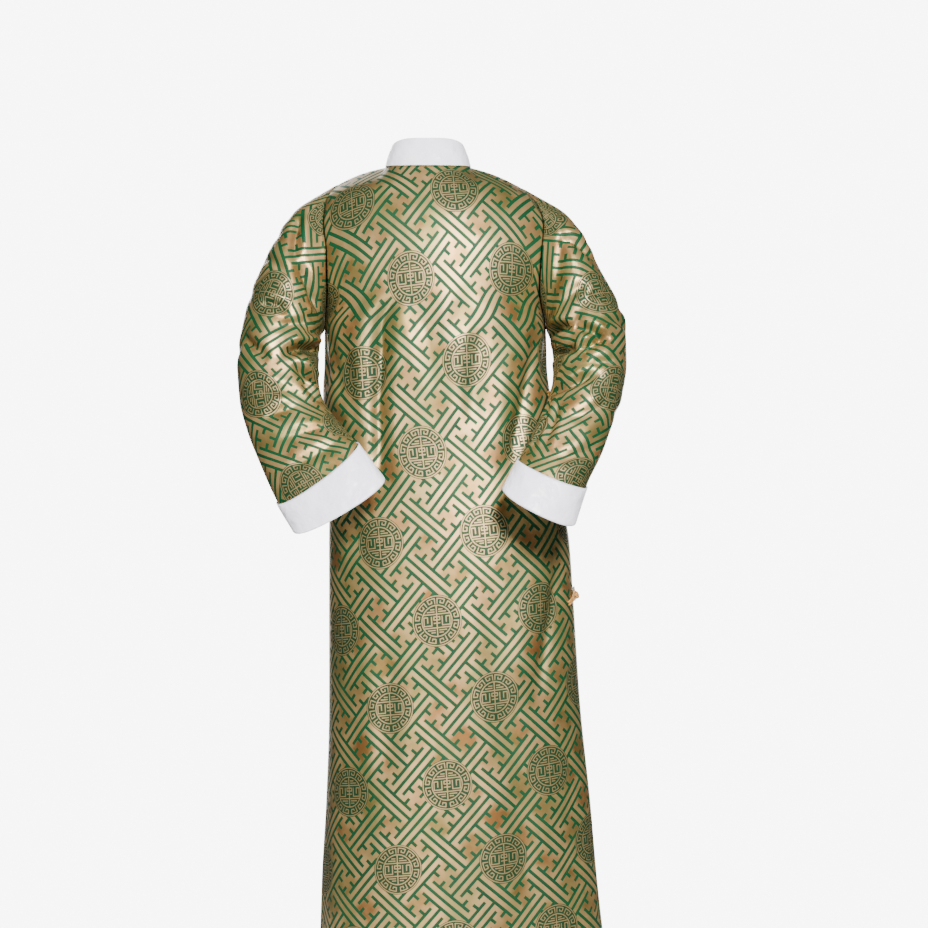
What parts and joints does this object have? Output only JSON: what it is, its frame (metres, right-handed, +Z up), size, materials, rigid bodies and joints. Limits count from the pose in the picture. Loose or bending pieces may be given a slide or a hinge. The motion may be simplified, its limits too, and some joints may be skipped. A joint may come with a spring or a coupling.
{
  "type": "chinese long gown",
  "caption": "Worn-shape chinese long gown: crossed front, standing collar, set-in sleeves with turned-back cuffs, side slits and frog closures.",
  "frame": {"origin": "middle of the neck opening, level with the foot of the collar", "axes": "+Z up, -Y out of the front, +X towards the wearer's left"},
  "size_m": [0.6379, 0.4138, 1.4007],
  "materials": {
    "brocade": "green ground with a gold key-fret, satin sheen",
    "white_satin": "white satin",
    "gold_cord": "yellow satin cord"
  },
  "bodies": {
    "root": {"back": "brocade", "front_outer": "brocade", "front_inner": "brocade", "sleeve_left": "brocade", "sleeve_right": "brocade", "cuff_left": "white_satin", "cuff_right": "white_satin", "collar": "white_satin", "frog_neck_loop": "gold_cord", "frog_neck_knot": "gold_cord", "frog_chest_loop": "gold_cord", "frog_chest_knot": "gold_cord", "frog_underarm_loop": "gold_cord", "frog_underarm_knot": "gold_cord", "frog_waist_loop": "gold_cord", "frog_waist_knot": "gold_cord", "frog_hip_loop": "gold_cord", "frog_hip_knot": "gold_cord"}
  },
  "joints": []
}
